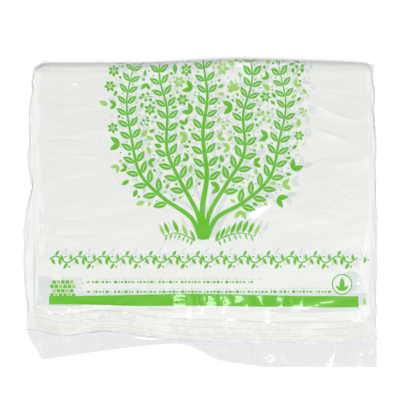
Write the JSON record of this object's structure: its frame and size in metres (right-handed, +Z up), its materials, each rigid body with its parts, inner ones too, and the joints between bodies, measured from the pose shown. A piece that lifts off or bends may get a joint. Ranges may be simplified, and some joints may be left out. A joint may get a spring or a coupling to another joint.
{
  "type": "pack of plastic carrier bags",
  "caption": "Clear film sleeve, open at one end, round white handle bags folded once in half; lies flat with the printed side up and a free flap at its mouth.",
  "frame": {"origin": "on the surface that the pack lies on, under the middle of the sleeve's outline", "axes": "+X across the pack to the right of the print, +Y from the sleeve's open mouth to the fold of the bags, +Z up out of the printed side"},
  "size_m": [0.316, 0.2804, 0.0189],
  "materials": {
    "clear_film": "clear, crinkled, glossy",
    "printed_film": "white translucent film with green print",
    "white_film": "white translucent film"
  },
  "bodies": {
    "root": {"clear_sleeve": "clear_film", "carrier_bag_01": "printed_film", "carrier_bag_02": "white_film", "carrier_bag_03": "white_film", "carrier_bag_04": "white_film", "carrier_bag_05": "white_film", "carrier_bag_06": "white_film", "carrier_bag_07": "white_film", "carrier_bag_08": "white_film", "carrier_bag_09": "white_film", "carrier_bag_10": "white_film", "carrier_bag_11": "white_film", "carrier_bag_12": "white_film"}
  },
  "joints": []
}
